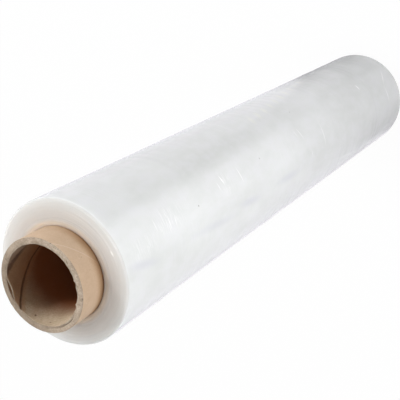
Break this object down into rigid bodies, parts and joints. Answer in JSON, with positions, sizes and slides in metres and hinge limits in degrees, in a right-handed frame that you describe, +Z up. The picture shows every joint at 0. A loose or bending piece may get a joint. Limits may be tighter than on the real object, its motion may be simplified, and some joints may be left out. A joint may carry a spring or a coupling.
{
  "type": "stretch wrap roll",
  "caption": "Long roll of clear stretch film wound on a spiral-wound paperboard tube that stands out at both ends, with an open bore for a spindle or hand grips.",
  "frame": {"origin": "centre of the tube's lower cut end, on the surface that the roll stands on", "axes": "+Z up along the roll's axis; +X and +Y only fix where the tube's seams lie round it"},
  "size_m": [0.093, 0.093, 0.54],
  "materials": {
    "paperboard": "matte",
    "stretch_film": "satin"
  },
  "bodies": {
    "root": {"core_tube": "paperboard", "film_roll": "stretch_film"}
  },
  "joints": []
}
